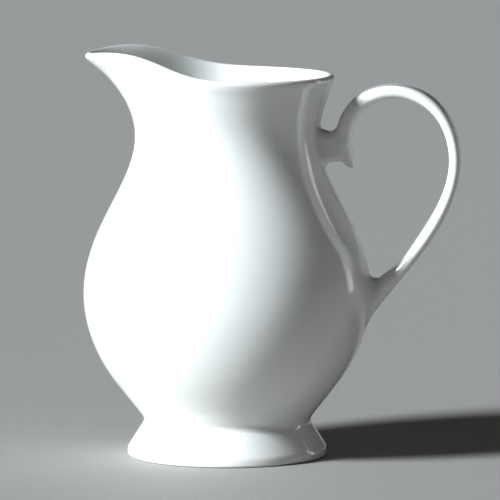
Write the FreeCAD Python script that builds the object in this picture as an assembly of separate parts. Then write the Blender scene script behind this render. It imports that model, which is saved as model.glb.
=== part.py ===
import FreeCAD, Part
import math
import os

# Porcelain cream jug, life size, in millimetres.
# Z is up and the table is the plane z = 0.  The axis of the round vessel is
# the Z axis, the pouring lip points to -X and the handle to +X.

# ---- foot ------------------------------------------------------------------
FOOT_RADIUS = 29.1          # outside of the foot, just above the table
FOOT_EDGE_HEIGHT = 2.3      # where the flare would meet the upright edge
FOOT_EDGE_ROUND = 3.0       # rounding between flare and upright edge
FOOT_TOE_ROUND = 0.8        # rounding where the edge meets the table
INNER_TOE_ROUND = 0.5
RESTING_RING_WIDTH = 3.2    # width of the flat ring that touches the table
RECESS_RADIUS = 20.6        # inside of the foot where it meets the vessel
WAIST_RADIUS = 23.9         # narrowest place, where foot and vessel meet
WAIST_HEIGHT = 10.4

# ---- vessel ----------------------------------------------------------------
CUP_SHARE = 0.67            # radius as a share of the belly's
CUP_HEIGHT = 15.7
LOW_BELLY_SHARE = 0.835
LOW_BELLY_HEIGHT = 24.8
BELLY_RADIUS = 41.8
BELLY_HEIGHT = 47.8
SHOULDER_SHARE = 0.916
SHOULDER_HEIGHT = 63.5
SLOPE_SHARE = 0.795
SLOPE_HEIGHT = 74.0
NECK_RADIUS = 26.8
NECK_HEIGHT = 93.6
THROAT_INSET = 1.1          # the throat is this much narrower than the rim
THROAT_DEPTH = 8.0          # and this far below it
RIM_RADIUS = 30.0           # to the middle of the wall, away from the lip
RIM_HEIGHT = 111.3          # top of the rim over the handle side
RIM_WALL = 2.2
BELLY_WALL = 2.7
FLOOR_HEIGHT = 13.3         # inside of the bottom
FLOOR_RADIUS = 11.0         # flat middle of the inside bottom
FLOOR_EASE_RADIUS = 14.5    # from here the bottom starts to rise
FLOOR_EASE_RISE = 0.15
FLOOR_TURN_RADIUS = 18.0    # and from here it turns up into the wall
FLOOR_TURN_RISE = 0.9
WALL_FOOT = 3.0             # height over the bottom at which the wall is even

# ---- pouring lip -----------------------------------------------------------
LIP_REACH = 11.3            # how far the lip is drawn out of the round neck
LIP_SPREAD = 33.0           # degrees round the neck at which the draw fades
LIP_RISE = 8.1              # how much higher the rim stands at the lip
LIP_RISE_MIDDLE = -15.1     # x at which half of the rise is reached
LIP_RISE_LENGTH = 10.4      # softness of the rise along x
LIP_TIP_DROP = 1.6          # the very tip dips again
LIP_TIP_START = 25.0        # how far from the axis the dip sets in
LIP_TIP_LENGTH = 15.0
LIP_START_HEIGHT = 89.0     # the neck is round below this height
LIP_CURL = 3.5              # how late the outward draw sets in
LIP_LIFT = 1.8              # how late the rise sets in

# ---- handle ----------------------------------------------------------------
# Places along the strap are shares of its length, 0 at the spur and 1 at the
# end inside the belly.
SPUR_TIP = (36.5, 84.5)     # middle line of the strap, as x and z
ARM_CROSSING = (34.0, 91.5)
RISE = (36.4, 100.2)
CROWN = (47.4, 106.2)
CROWN_BACK = (59.6, 102.2)
GRIP = (66.05, 86.0)
GRIP_LOW = (63.2, 74.0)
RETURN = (52.3, 56.7)
ROOT = (44.5, 46.9)
ROOT_END = (36.0, 36.6)
STRAP_WIDTH = 11.6
STRAP_THICKNESS = 3.45
STRAP_SQUARENESS = 2.6      # exponent of the rounded section
SPUR_TAPER = 0.055          # the spur below the neck thins out over this share
SPUR_EDGE = 0.2             # thickness left at its end, as a share
SPUR_WIDTH = 0.62           # width left at its end, as a share
SPUR_WIDENING = 0.16        # share over which one full width would be gained
CROWN_EXTRA = 1.5           # extra thickness at the arm and the crown
CROWN_PLACE = 0.10
CROWN_LENGTH = 0.16
LOW_EXTRA = 0.5             # extra thickness below the finger gap's middle
LOW_PLACE = 0.69
LOW_LENGTH = 0.10
ROOT_EXTRA = 0.9            # extra thickness towards the belly
ROOT_LENGTH = 0.09
INNER_FLARE = 1.9           # spreading of the root towards the finger gap
INNER_FLARE_START = 0.785
INNER_FLARE_END = 0.87
OUTER_FLARE = 0.9           # spreading of the root down the belly
OUTER_FLARE_START = 0.925
OUTER_FLARE_END = 0.98
BRACKET_WIDTH = 10.6        # the short arm between neck and strap
BRACKET_REACH = 34.6        # x where it ends inside the strap
BRACKET_TOP = 94.4          # lowest point of its hollow top
BRACKET_TOP_X = 29.4
BRACKET_TOP_CURVE = 0.20    # rise per square millimetre away from that point
BRACKET_BOTTOM = 85.9       # highest point of its hollow underside
BRACKET_BOTTOM_X = 32.2
BRACKET_BOTTOM_CURVE = 0.07

# ---- slip --------------------------------------------------------------------
SLIP_LAYER = 0.4            # thickness of slip between two joined pieces
SLIP_RADIUS = 2.0           # concave bead where the handle is luted on
FOOT_SLIP_RADIUS = 2.2

# ---- fineness of the free-form surfaces --------------------------------------
AROUND = 48                 # outlines round the vessel
RIM_STEPS = 5               # over the round of the rim
WALL_STATIONS = 26          # rows up the wall
WALL_CROWDING = 1.15        # above 1 crowds the rows towards the rim
STRAP_STATIONS = 40
STRAP_AROUND = 20
BRACKET_STATIONS = 10
RING_PASSES = 24            # rounds in which the control points settle
PROFILE_STATIONS = 40
CORE_RISE = 8.0             # the filled core reaches this far above the neck
CORE_SPREAD = 0.7           # where it is this much wider
OUTLINE_STATIONS = 1000
BEAD_STATIONS = 8
PLUG_STATIONS = 5
HALVINGS = 30               # steps of a search by halving
FINE_STEP = 0.002           # share of the way along a bar, for its direction
TOUCH = 0.001               # closer than this is the same place
END_SINK = 2.2              # how deep the bracket runs into the wall
BEAD_SINK = 0.06            # how deep the edges of a bead are pressed in
PLUG_TAPER = 0.5            # how much a plug narrows inside the handle
BRACKET_PLUG_END = 32.6     # x
STRAP_PLUG_END = 0.77       # share of the strap
NECK_DEPTH = 20.0           # x, well inside the neck
BELLY_DEPTH = 33.0          # x, well inside the belly


ORIGIN = FreeCAD.Vector(0, 0, 0)
UP = FreeCAD.Vector(0, 0, 1)


def polar(radius, height):
    return FreeCAD.Vector(radius, 0, height)


def interpolated(points, parameters=None):
    """Cubic curve through the points."""
    curve = Part.BSplineCurve()
    if parameters is None:
        curve.interpolate(Points=points)
    else:
        curve.interpolate(Points=points, Parameters=parameters)
    return curve


def chord_parameters(points):
    """Running length along a chain of points, from 0 to 1."""
    lengths = [0.0]
    for first, second in zip(points, points[1:]):
        lengths.append(lengths[-1] + (second - first).Length)
    return [length / lengths[-1] for length in lengths]


def ring_poles(row):
    """Control points of the even closed cubic that passes through a row."""
    poles = list(row)
    for repeat in range(RING_PASSES):
        before = poles[-1:] + poles[:-1]
        after = poles[1:] + poles[:1]
        poles = [(p * 6 - a - b) * 0.25 for p, a, b in zip(row, before, after)]
    return poles


def skin(rows, guide):
    """Face through closed rows of points; guide is the spacing of the rows."""
    around = len(rows[0])
    columns = zip(*[ring_poles(row) for row in rows])
    lines = [interpolated(list(column), guide) for column in columns]
    surface = Part.BSplineSurface()
    surface.buildFromPolesMultsKnots(
        [line.getPoles() for line in lines],
        [1] * (around + 1), lines[0].getMultiplicities(),
        list(range(around + 1)), lines[0].getKnots(),
        True, False, 3, 3)
    return surface.toShape()


def same_edge(first, second):
    apart = (first.CenterOfMass - second.CenterOfMass).Length
    return apart < TOUCH and abs(first.Length - second.Length) < TOUCH


def capped(sides):
    """Solid from tube-like faces joined end to end whose two open ends are flat."""
    rings = [edge for side in sides for edge in side.Edges if edge.isClosed()]
    ends = [ring for ring in rings if sum(same_edge(ring, other) for other in rings) == 1]
    caps = [Part.Face(Part.Wire([edge])) for edge in ends]
    shell = Part.makeShell(sides + caps)
    shell.sewShape()
    solid = Part.makeSolid(shell)
    if solid.Volume < 0:
        solid.reverse()
    return solid


# ---- vessel ----------------------------------------------------------------

def outer_profile():
    """Outside of the round vessel from the waist to just under the rim."""
    return interpolated([
        polar(WAIST_RADIUS, WAIST_HEIGHT),
        polar(CUP_SHARE * BELLY_RADIUS, CUP_HEIGHT),
        polar(LOW_BELLY_SHARE * BELLY_RADIUS, LOW_BELLY_HEIGHT),
        polar(BELLY_RADIUS, BELLY_HEIGHT),
        polar(SHOULDER_SHARE * BELLY_RADIUS, SHOULDER_HEIGHT),
        polar(SLOPE_SHARE * BELLY_RADIUS, SLOPE_HEIGHT),
        polar(NECK_RADIUS, NECK_HEIGHT),
        polar(RIM_RADIUS - THROAT_INSET, RIM_HEIGHT - THROAT_DEPTH),
        polar(RIM_RADIUS + 0.5 * RIM_WALL, RIM_HEIGHT - 0.9 * RIM_WALL)])


def draw_lip(radius, height, turn):
    """Move a point of the round vessel to where the drawn lip carries it."""
    span = RIM_HEIGHT - 0.5 * RIM_WALL - LIP_START_HEIGHT
    up = max(0.0, (height - LIP_START_HEIGHT) / span)
    away = (turn - math.pi) / math.radians(LIP_SPREAD)
    reach = LIP_REACH * math.exp(-away * away)
    rim_x = (RIM_RADIUS + reach) * math.cos(turn)
    rise = 0.5 * LIP_RISE * (1 + math.tanh((LIP_RISE_MIDDLE - rim_x) / LIP_RISE_LENGTH))
    beyond = max(0.0, (-rim_x - LIP_TIP_START) / LIP_TIP_LENGTH)
    rise -= LIP_TIP_DROP * beyond * beyond
    return polar(radius + reach * up ** LIP_CURL, height + rise * up ** LIP_LIFT)


def section(turn):
    """Half section of the vessel wall at one angle, outside to inside."""
    profile = outer_profile()
    outside = []
    for i in range(WALL_STATIONS + 1):
        along = 1 - (1 - i / WALL_STATIONS) ** WALL_CROWDING
        point = profile.value(profile.LastParameter * along)
        outside.append(draw_lip(point.x, point.z, turn))
    curve = interpolated(outside)
    inside = []
    for i in range(WALL_STATIONS + 1):
        along = i / WALL_STATIONS
        here = curve.parameter(outside[i])
        tangent = curve.tangent(here)[0]
        inward = FreeCAD.Vector(-tangent.z, 0, tangent.x)
        wall = BELLY_WALL + (RIM_WALL - BELLY_WALL) * along ** 2
        inside.append(outside[i] + inward * wall)
    tangent = curve.tangent(curve.LastParameter)[0]
    inward = FreeCAD.Vector(-tangent.z, 0, tangent.x)
    middle = outside[-1] + inward * (0.5 * RIM_WALL)
    lip = []
    for i in range(1, RIM_STEPS):
        angle = math.pi * i / RIM_STEPS
        lip.append(middle + inward * (-0.5 * RIM_WALL * math.cos(angle))
                   + tangent * (0.5 * RIM_WALL * math.sin(angle)))
    bowl = [point for point in reversed(inside) if point.z > FLOOR_HEIGHT + WALL_FOOT]
    floor = [polar(FLOOR_TURN_RADIUS, FLOOR_HEIGHT + FLOOR_TURN_RISE),
             polar(FLOOR_EASE_RADIUS, FLOOR_HEIGHT + FLOOR_EASE_RISE),
             polar(FLOOR_RADIUS, FLOOR_HEIGHT)]
    return outside + lip + bowl + floor


def make_body():
    turns = [2 * math.pi * i / AROUND for i in range(AROUND)]
    sections = []
    for turn in turns:
        spin = FreeCAD.Rotation(UP, math.degrees(turn))
        sections.append([spin.multVec(point) for point in section(turn)])
    guide = chord_parameters(section(0.5 * math.pi))
    return capped([skin(list(zip(*sections)), guide)])


def make_core(grow):
    """The round vessel filled solid up to the neck, its outside moved out by grow."""
    profile = outer_profile()
    top = profile.parameter(polar(NECK_RADIUS + CORE_SPREAD, NECK_HEIGHT + CORE_RISE))
    side = profile.copy()
    side.segment(profile.FirstParameter, top)
    if grow > 0:
        side = interpolated([moved_out(side, share / PROFILE_STATIONS, grow)
                             for share in range(PROFILE_STATIONS + 1)])
    low = side.value(side.FirstParameter)
    high = side.value(side.LastParameter)
    outline = Part.Wire([
        side.toShape(),
        Part.makeLine(high, polar(0, high.z)),
        Part.makeLine(polar(0, high.z), polar(0, low.z)),
        Part.makeLine(polar(0, low.z), low)])
    core = Part.Face(outline).revolve(ORIGIN, UP, 360)
    # the seam of the core is turned to the side, away from the handle
    core.rotate(ORIGIN, UP, 90)
    return core


def moved_out(curve, share, distance):
    """Point of a profile curve moved straight out of the wall."""
    here = curve.FirstParameter + (curve.LastParameter - curve.FirstParameter) * share
    tangent = curve.tangent(here)[0]
    return curve.value(here) + FreeCAD.Vector(tangent.z, 0, -tangent.x) * distance


# ---- foot ------------------------------------------------------------------

def make_foot():
    """Hollow flared foot: a conical ring with a rounded lower edge."""
    toe = polar(FOOT_RADIUS, 0)
    edge = polar(FOOT_RADIUS, FOOT_EDGE_HEIGHT)
    inner_toe = polar(FOOT_RADIUS - RESTING_RING_WIDTH, 0)
    corners = [toe, edge, polar(WAIST_RADIUS, WAIST_HEIGHT),
               polar(RECESS_RADIUS, WAIST_HEIGHT), inner_toe, toe]
    ring = Part.Face(Part.makePolygon(corners)).revolve(ORIGIN, UP, 360)
    for corner, radius in ((edge, FOOT_EDGE_ROUND), (toe, FOOT_TOE_ROUND),
                           (inner_toe, INNER_TOE_ROUND)):
        circles = [e for e in ring.Edges if circle_at(e, corner)]
        ring = ring.makeFillet(radius, circles)
    return ring.Solids[0]


def lowered(foot):
    """The foot with room for the layer of slip on top of it."""
    above = Part.makeCylinder(FOOT_RADIUS, WAIST_HEIGHT,
                              polar(0, WAIST_HEIGHT - SLIP_LAYER))
    return foot.cut(above).Solids[0]


def circle_at(edge, point):
    """True for a level circle through the given point."""
    box = edge.BoundBox
    level = abs(box.ZMax - box.ZMin) < TOUCH and abs(box.ZMax - point.z) < TOUCH
    return level and abs(box.XMax - point.x) < TOUCH


# ---- handle ----------------------------------------------------------------

def strap_path():
    """Middle line of the strap, from the spur below the neck to the belly."""
    stops = (SPUR_TIP, ARM_CROSSING, RISE, CROWN, CROWN_BACK,
             GRIP, GRIP_LOW, RETURN, ROOT, ROOT_END)
    return interpolated([polar(x, z) for x, z in stops])


def rounded_ring(middle, across, along, half_width, half_height):
    """Closed row of points on a rounded rectangle."""
    row = []
    for i in range(STRAP_AROUND):
        angle = 2 * math.pi * (i + 0.5) / STRAP_AROUND
        power = 2 / STRAP_SQUARENESS
        c = math.copysign(abs(math.cos(angle)) ** power, math.cos(angle))
        s = math.copysign(abs(math.sin(angle)) ** power, math.sin(angle))
        row.append(middle + across * (half_width * c) + along * (half_height * s))
    return row


def eased(share):
    """Smooth step from 0 to 1."""
    share = min(1.0, max(0.0, share))
    return share * share * (3 - 2 * share)


def strap_sides(along):
    """Thickness of the strap on its inner and its outer side of the middle line."""
    taper = min(1.0, along / SPUR_TAPER)
    spur = math.sqrt(max(0.0, 1 - (1 - taper) ** 2))
    crown = CROWN_EXTRA * math.exp(-((along - CROWN_PLACE) / CROWN_LENGTH) ** 2)
    low = LOW_EXTRA * math.exp(-((along - LOW_PLACE) / LOW_LENGTH) ** 2)
    root = ROOT_EXTRA * math.exp(-((1 - along) / ROOT_LENGTH) ** 2)
    half = 0.5 * (STRAP_THICKNESS + crown + low + root)
    half = half * (SPUR_EDGE + (1 - SPUR_EDGE) * spur)
    inner = eased((along - INNER_FLARE_START) / (INNER_FLARE_END - INNER_FLARE_START))
    outer = eased((along - OUTER_FLARE_START) / (OUTER_FLARE_END - OUTER_FLARE_START))
    return half + INNER_FLARE * inner, half + OUTER_FLARE * outer


def strap_ring(along):
    """Outline of the strap at one place along its length."""
    path = strap_path()
    here = path.LastParameter * along
    tangent = path.tangent(here)[0]
    inward = FreeCAD.Vector(tangent.z, 0, -tangent.x)
    inner, outer = strap_sides(along)
    width = STRAP_WIDTH * min(1.0, SPUR_WIDTH + along / SPUR_WIDENING)
    return rounded_ring(path.value(here) + inward * (0.5 * (inner - outer)),
                        FreeCAD.Vector(0, 1, 0), inward,
                        0.5 * width, 0.5 * (inner + outer))


def bracket_ring(x):
    """Outline of the short arm, hollowed above and below, at one x."""
    top = BRACKET_TOP + BRACKET_TOP_CURVE * (x - BRACKET_TOP_X) ** 2
    bottom = BRACKET_BOTTOM - BRACKET_BOTTOM_CURVE * (x - BRACKET_BOTTOM_X) ** 2
    return rounded_ring(FreeCAD.Vector(x, 0, 0.5 * (top + bottom)),
                        FreeCAD.Vector(0, 1, 0), UP,
                        0.5 * BRACKET_WIDTH, 0.5 * (top - bottom))


def bar(ring_at, start, end, stations):
    """Solid through the outlines from start to end."""
    places = [start + (end - start) * i / stations for i in range(stations + 1)]
    rows = [ring_at(place) for place in places]
    return capped([skin(rows, chord_parameters([centre(row) for row in rows]))])


def centre(row):
    return sum(row, FreeCAD.Vector()) * (1 / len(row))


def make_handle():
    """Strap and bracket in one casting, running on into the vessel."""
    strap = bar(strap_ring, 0, 1, STRAP_STATIONS)
    bracket = bar(bracket_ring, NECK_RADIUS - END_SINK, BRACKET_REACH, BRACKET_STATIONS)
    return strap.fuse(bracket)


def outside_of(core, blank):
    """The piece of a blank that is left outside a core."""
    return blank.cut(core).Solids[0]


# ---- slip ------------------------------------------------------------------------

def make_foot_slip(core, whole, trimmed):
    """Layer of slip on the foot, with a concave bead round it."""
    joined = core.fuse(whole)
    waist = [e for e in joined.Edges if circle_at(e, polar(WAIST_RADIUS, WAIST_HEIGHT))]
    filled = joined.makeFillet(FOOT_SLIP_RADIUS, waist)
    return biggest(filled.cut([core, trimmed]))


def biggest(shape):
    return max(shape.Solids, key=lambda solid: solid.Volume)


def wall_outline():
    """Points on the outside of the round vessel, in rising order."""
    profile = outer_profile()
    last = profile.LastParameter
    return [profile.value(last * i / OUTLINE_STATIONS) for i in range(OUTLINE_STATIONS + 1)]


def wall_at(point, outline):
    """Point of the vessel wall level with a point, and the wall's outward normal."""
    low, high = 0, len(outline) - 1
    while high - low > 1:
        middle = (low + high) // 2
        low, high = (middle, high) if outline[middle].z <= point.z else (low, middle)
    first, second = outline[low], outline[high]
    slope = (second.x - first.x) / (second.z - first.z)
    radius = first.x + slope * (point.z - first.z)
    out = FreeCAD.Vector(point.x, point.y, 0).normalize()
    foot = out * radius + UP * point.z
    return foot, (out - UP * slope).normalize()


def entry(ring_at, number, clear, sunk, outline):
    """Place at which one line along a bar enters the vessel wall."""
    for repeat in range(HALVINGS):
        middle = 0.5 * (clear + sunk)
        point = ring_at(middle)[number]
        foot, normal = wall_at(point, outline)
        if (point - foot).dot(normal) > 0:
            clear = middle
        else:
            sunk = middle
    return 0.5 * (clear + sunk)


def bead_line(ring_at, number, clear, sunk, outline):
    """Hollow curve from wall to bar at one point of the joint, and its place on the bar."""
    place = entry(ring_at, number, clear, sunk, outline)
    step = (clear - sunk) * FINE_STEP
    ring, ahead = ring_at(place), ring_at(place + step)
    corner = ring[number]
    speed = (ahead[number] - corner).Length / step
    up = (ahead[number] - corner).normalize()
    around = ring[(number + 1) % len(ring)] - ring[number - 1]
    bar_normal = around.cross(up).normalize()
    if bar_normal.dot(corner - centre(ring)) < 0:
        bar_normal = bar_normal * -1
    foot, wall_normal = wall_at(corner, outline)
    out = (bar_normal - wall_normal * bar_normal.dot(wall_normal)).normalize()
    half_angle = 0.5 * up.getAngle(out)
    reach = SLIP_RADIUS / math.tan(half_angle)
    place += reach / speed
    high = ring_at(place)[number] - bar_normal * BEAD_SINK
    foot, low_normal = wall_at(corner + out * reach, outline)
    low = foot - low_normal * BEAD_SINK
    pull = 4 / 3 * SLIP_RADIUS * math.tan(0.25 * (math.pi - 2 * half_angle))
    up_high = (ring_at(place + step)[number] - ring_at(place)[number]).normalize()
    out_low = (out - low_normal * out.dot(low_normal)).normalize()
    curve = Part.BezierCurve()
    curve.setPoles([low, low - out_low * pull, high - up_high * pull, high])
    points = [curve.value(i / BEAD_STATIONS) for i in range(BEAD_STATIONS + 1)]
    return points, place


def make_handle_slip(ring_at, clear, sunk, depth, core, handle):
    """Layer of slip under one end of the handle, with a concave bead round it.

    A plug is made first that runs from inside the wall, out through the bead
    and on inside the bar; wall and bar are then cut away from it.
    """
    outline = wall_outline()
    # starting a quarter turn on keeps the seam of the plug off the seam of the bar
    numbers = [(i + STRAP_AROUND // 4) % STRAP_AROUND for i in range(STRAP_AROUND)]
    lines = [bead_line(ring_at, number, clear, sunk, outline) for number in numbers]
    rows = [list(row) for row in zip(*[points for points, place in lines])]
    shares = [i / PLUG_STATIONS for i in range(PLUG_STATIONS + 1)]
    below = [[FreeCAD.Vector(depth + (point.x - depth) * share, point.y, point.z)
              for point in rows[0]] for share in shares]
    above = [rows[-1]]
    for share in shares[1:]:
        row = []
        for number, (points, place) in zip(numbers, lines):
            ring = ring_at(place + (clear - place) * share)
            middle = centre(ring)
            row.append(middle + (ring[number] - middle) * (1 - PLUG_TAPER * share))
        above.append(row)
    sides = [skin(part, [i / (len(part) - 1) for i in range(len(part))])
             for part in (below, rows, above)]
    return biggest(capped(sides).cut([core, handle]))


def main():
    core = make_core(0)
    grown = make_core(SLIP_LAYER)
    foot_blank = make_foot()
    foot = lowered(foot_blank)
    handle_blank = outside_of(core, make_handle())
    handle = outside_of(grown, handle_blank)
    parts = {
        "body": make_body(),
        "foot": foot,
        "handle": handle,
        "foot_slip_joint": make_foot_slip(core, foot_blank, foot),
        "handle_upper_slip_joint": make_handle_slip(
            bracket_ring, BRACKET_PLUG_END, NECK_RADIUS - END_SINK, NECK_DEPTH,
            core, handle),
        "handle_lower_slip_joint": make_handle_slip(
            strap_ring, STRAP_PLUG_END, 1, BELLY_DEPTH, core, handle),
    }
    os.makedirs("parts", exist_ok=True)
    for name, shape in parts.items():
        shape.exportStep("parts/" + name + ".step")
        print(name, shape.ShapeType, shape.isValid(), round(shape.Volume, 1), shape.BoundBox)


main()
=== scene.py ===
import math

import bpy
import numpy as np
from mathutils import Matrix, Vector


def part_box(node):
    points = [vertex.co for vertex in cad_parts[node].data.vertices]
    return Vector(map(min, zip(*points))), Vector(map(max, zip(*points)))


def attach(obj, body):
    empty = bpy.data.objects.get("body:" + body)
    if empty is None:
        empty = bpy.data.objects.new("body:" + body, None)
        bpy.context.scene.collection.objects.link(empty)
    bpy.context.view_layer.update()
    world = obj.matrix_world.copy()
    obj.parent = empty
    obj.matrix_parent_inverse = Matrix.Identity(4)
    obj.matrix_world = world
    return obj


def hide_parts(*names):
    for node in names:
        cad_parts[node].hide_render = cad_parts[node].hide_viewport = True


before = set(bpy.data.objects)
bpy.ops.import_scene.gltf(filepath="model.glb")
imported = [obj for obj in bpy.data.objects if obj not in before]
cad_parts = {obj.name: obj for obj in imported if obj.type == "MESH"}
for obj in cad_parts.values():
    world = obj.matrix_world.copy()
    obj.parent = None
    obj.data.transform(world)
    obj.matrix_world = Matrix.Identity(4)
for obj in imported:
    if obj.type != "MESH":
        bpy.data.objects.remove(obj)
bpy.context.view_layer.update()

# A glazed porcelain cream jug standing on a pale table.  Lengths are in
# millimetres and turned into metres when a mesh is made, unless a comment says
# metres.  The lip points to -X and the handle to +X, as in the record.

MM = 0.001


def node_box(name):
    """Lowest and highest corner of a CAD node, in millimetres."""
    lo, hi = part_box(name)
    return np.array(lo) / MM, np.array(hi) / MM


body_lo, body_hi = node_box("body")
foot_lo, foot_hi = node_box("foot")
handle_lo, handle_hi = node_box("handle")

# ---- sizes read from the frame ---------------------------------------------
WAIST_HEIGHT = body_lo[2]
BELLY_RADIUS = body_hi[1]
TABLE_HEIGHT = foot_lo[2]
FOOT_HEIGHT = foot_hi[2]
FOOT_RADIUS = foot_hi[1]
STRAP_WIDTH = handle_hi[1] - handle_lo[1]

# ---- foot ------------------------------------------------------------------
WAIST_RADIUS = 23.9          # narrowest place, where foot and vessel meet
FOOT_EDGE_HEIGHT = 2.3       # where the flare would meet the upright edge
FOOT_EDGE_ROUND = 3.0        # rounding between flare and upright edge
FOOT_TOE_ROUND = 0.8         # rounding where the edge meets the table
INNER_TOE_ROUND = 0.5
RESTING_RING_WIDTH = 3.2     # width of the flat ring that touches the table
RECESS_RADIUS = 20.6         # inside of the foot where it meets the vessel

# ---- vessel ----------------------------------------------------------------
CUP_SHARE = 0.67             # radius as a share of the belly's
CUP_HEIGHT = 15.7
LOW_BELLY_SHARE = 0.835
LOW_BELLY_HEIGHT = 24.8
BELLY_HEIGHT = 47.8
SHOULDER_SHARE = 0.916
SHOULDER_HEIGHT = 63.5
SLOPE_SHARE = 0.795
SLOPE_HEIGHT = 74.0
NECK_RADIUS = 26.8
NECK_HEIGHT = 93.6
THROAT_INSET = 1.1           # the throat is this much narrower than the rim
THROAT_DEPTH = 8.0           # and this far below it
RIM_RADIUS = 30.0            # to the middle of the wall, away from the lip
RIM_HEIGHT = 111.3           # top of the rim over the handle side
RIM_WALL = 2.2
RIM_TURN = 0.9               # wall widths below the top where the rim's round begins
BELLY_WALL = 2.7
FLOOR_HEIGHT = 13.3          # inside of the bottom
FLOOR_RADIUS = 11.0          # flat middle of the inside bottom
FLOOR_EASE_RADIUS = 14.5     # from here the bottom starts to rise
FLOOR_EASE_RISE = 0.15
FLOOR_TURN_RADIUS = 18.0     # and from here it turns up into the wall
FLOOR_TURN_RISE = 0.9
WALL_FOOT = 3.0              # height over the bottom at which the wall is even

# ---- pouring lip -----------------------------------------------------------
LIP_REACH = 11.3             # how far the lip is drawn out of the round neck
LIP_SPREAD = 33.0            # degrees round the neck at which the draw fades
LIP_RISE = 8.1               # how much higher the rim stands at the lip
LIP_RISE_MIDDLE = -15.1      # x at which half of the rise is reached
LIP_RISE_LENGTH = 10.4       # softness of the rise along x
LIP_TIP_DROP = 1.6           # the very tip dips again
LIP_TIP_START = 25.0         # how far from the axis the dip sets in
LIP_TIP_LENGTH = 15.0
LIP_START_HEIGHT = 89.0      # the neck is round below this height
LIP_CURL = 3.5               # how late the outward draw sets in
LIP_LIFT = 1.8               # how late the rise sets in

# ---- handle ----------------------------------------------------------------
# Places along the strap are shares of its length, 0 at the spur and 1 at the
# end inside the belly.
SPUR_TIP = (36.5, 84.5)      # middle line of the strap, as x and z
ARM_CROSSING = (34.0, 91.5)
RISE = (36.4, 100.2)
CROWN = (47.4, 106.2)
CROWN_BACK = (59.6, 102.2)
GRIP = (66.05, 86.0)
GRIP_LOW = (63.2, 74.0)
RETURN = (52.3, 56.7)
ROOT = (44.5, 46.9)
ROOT_END = (36.0, 36.6)
STRAP_THICKNESS = 3.45
STRAP_EDGE_SHARE = 0.94      # roundness of the long edges
STRAP_EDGE_MOST = 2.6        # largest half thickness that the rounding follows
STRAP_DOME = 0.16            # how much thinner the strap is at its edges
STRAP_DOME_LIMIT = 1.3       # the doming stops this many half widths out
SPUR_TAPER = 0.055           # the spur below the neck thins out over this share
SPUR_EDGE = 0.2              # thickness left at its end, as a share
SPUR_WIDTH = 0.62            # width left at its end, as a share
SPUR_WIDENING = 0.16         # share over which one full width would be gained
CROWN_EXTRA = 1.5            # extra thickness at the arm and the crown
CROWN_PLACE = 0.10
CROWN_LENGTH = 0.16
LOW_EXTRA = 0.5              # extra thickness below the finger gap's middle
LOW_PLACE = 0.69
LOW_LENGTH = 0.10
ROOT_EXTRA = 0.9             # extra thickness towards the belly
ROOT_LENGTH = 0.09
INNER_FLARE = 1.9            # spreading of the root towards the finger gap
INNER_FLARE_START = 0.785
INNER_FLARE_END = 0.87
OUTER_FLARE = 0.9            # spreading of the root down the belly
OUTER_FLARE_START = 0.925
OUTER_FLARE_END = 0.98

ARM_WIDTH = 9.6              # the short arm between neck and strap
ARM_START_X = 23.0           # where it begins, inside the neck
ARM_END_X = 34.4             # and ends, inside the strap
ARM_TOP = 94.4               # lowest point of its hollow top
ARM_TOP_X = 29.4
ARM_TOP_CURVE = 0.20         # rise per square millimetre away from that point
ARM_BOTTOM = 85.9            # highest point of its hollow underside
ARM_BOTTOM_X = 32.2
ARM_BOTTOM_CURVE = 0.07
ARM_EDGE = 2.2               # rounding of its long edges
MELD = 0.9                   # how softly the arm melts into the strap
END_GAP = 0.1                # slip between the ends of the handle and the vessel

# ---- slip ------------------------------------------------------------------
FOOT_SLIP_RADIUS = 2.2       # hollow beads where the pieces are luted together
UPPER_SLIP_RADIUS = 2.0
LOWER_SLIP_RADIUS = 2.0
LOWER_SLIP_DRAWN = 4.0       # more radius where it is wiped down the belly
UPPER_SLIP_MIDDLE = (27.2, 0, 90.2)
UPPER_SLIP_AXIS = (1, 0, 0)  # along the arm, out of the neck
UPPER_SLIP_REACH = 5.0       # from that middle to the skin of the arm, roughly
LOWER_SLIP_MIDDLE = (41.5, 0, 43.6)
LOWER_SLIP_AXIS = (0.995, 0, 0.1)
LOWER_SLIP_REACH = 6.0
BEAD_SINK = 0.35             # how deep the hidden sides of a bead lie
BEAD_CORNER_SINK = 0.2       # and its hidden corner
BEAD_SHARPEST = 0.35         # least cosine of half the corner that a bead fills
SLIP_PRESS = 0.05            # how deep the foot's slip is pressed into the pieces
SLIP_CHAMFER = 0.1           # at its inner edges

# ---- unevenness of the fired clay --------------------------------------------
# Waves over the surface: height as a share of UNEVENNESS, lobes round the jug,
# phase, and height of the jug per radian.
UNEVENNESS = 0.04
OVAL_WAVE = (1.0, 2, 0.7, 47.0)
THREE_LOBED_WAVE = (0.6, 3, -1.1, -31.0)
RING_HEIGHT = 0.5            # throwing rings, as a share of UNEVENNESS
RING_PITCH = 9.5
RING_SWAY = 2.0
RING_PHASE = 0.4
CALM_RADIUS = 12.0           # nearer to the axis the waves die out

# ---- fineness of the meshes --------------------------------------------------
AROUND = 288                 # vertices round the vessel and the foot
WALL_STATIONS = 26           # rows that shape the wall
WALL_CROWDING = 1.15         # above 1 crowds the rows towards the rim
ROWS_PER_STATION = 3         # mesh rows between two of those
RIM_STEPS = 5                # over the round of the rim
UNDERSIDE_RINGS = (0.04, 0.3, 0.55, 0.8, 0.95)   # shares of the waist radius
FLOOR_RINGS = (0.75, 0.5, 0.25, 0.05)            # shares of the flat inside
FOOT_RUN = 1.0               # longest straight side in the section of the foot
COARSE = 12                  # runs of a chain between two guide nodes
PROFILE_STEPS = 700          # along the outside of the vessel
PROFILE_SHARE = 0.94         # up to just below the rim, past every joint
PATH_STEPS = 420             # along the strap
BAR_AROUND = 24              # vertices round the bars under the handle's skin
BAR_STRIDE = 3               # path steps between two rows of such a bar
ARM_BAR_ROWS = 12
ARM_BAR_START_X = 25.4
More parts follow.
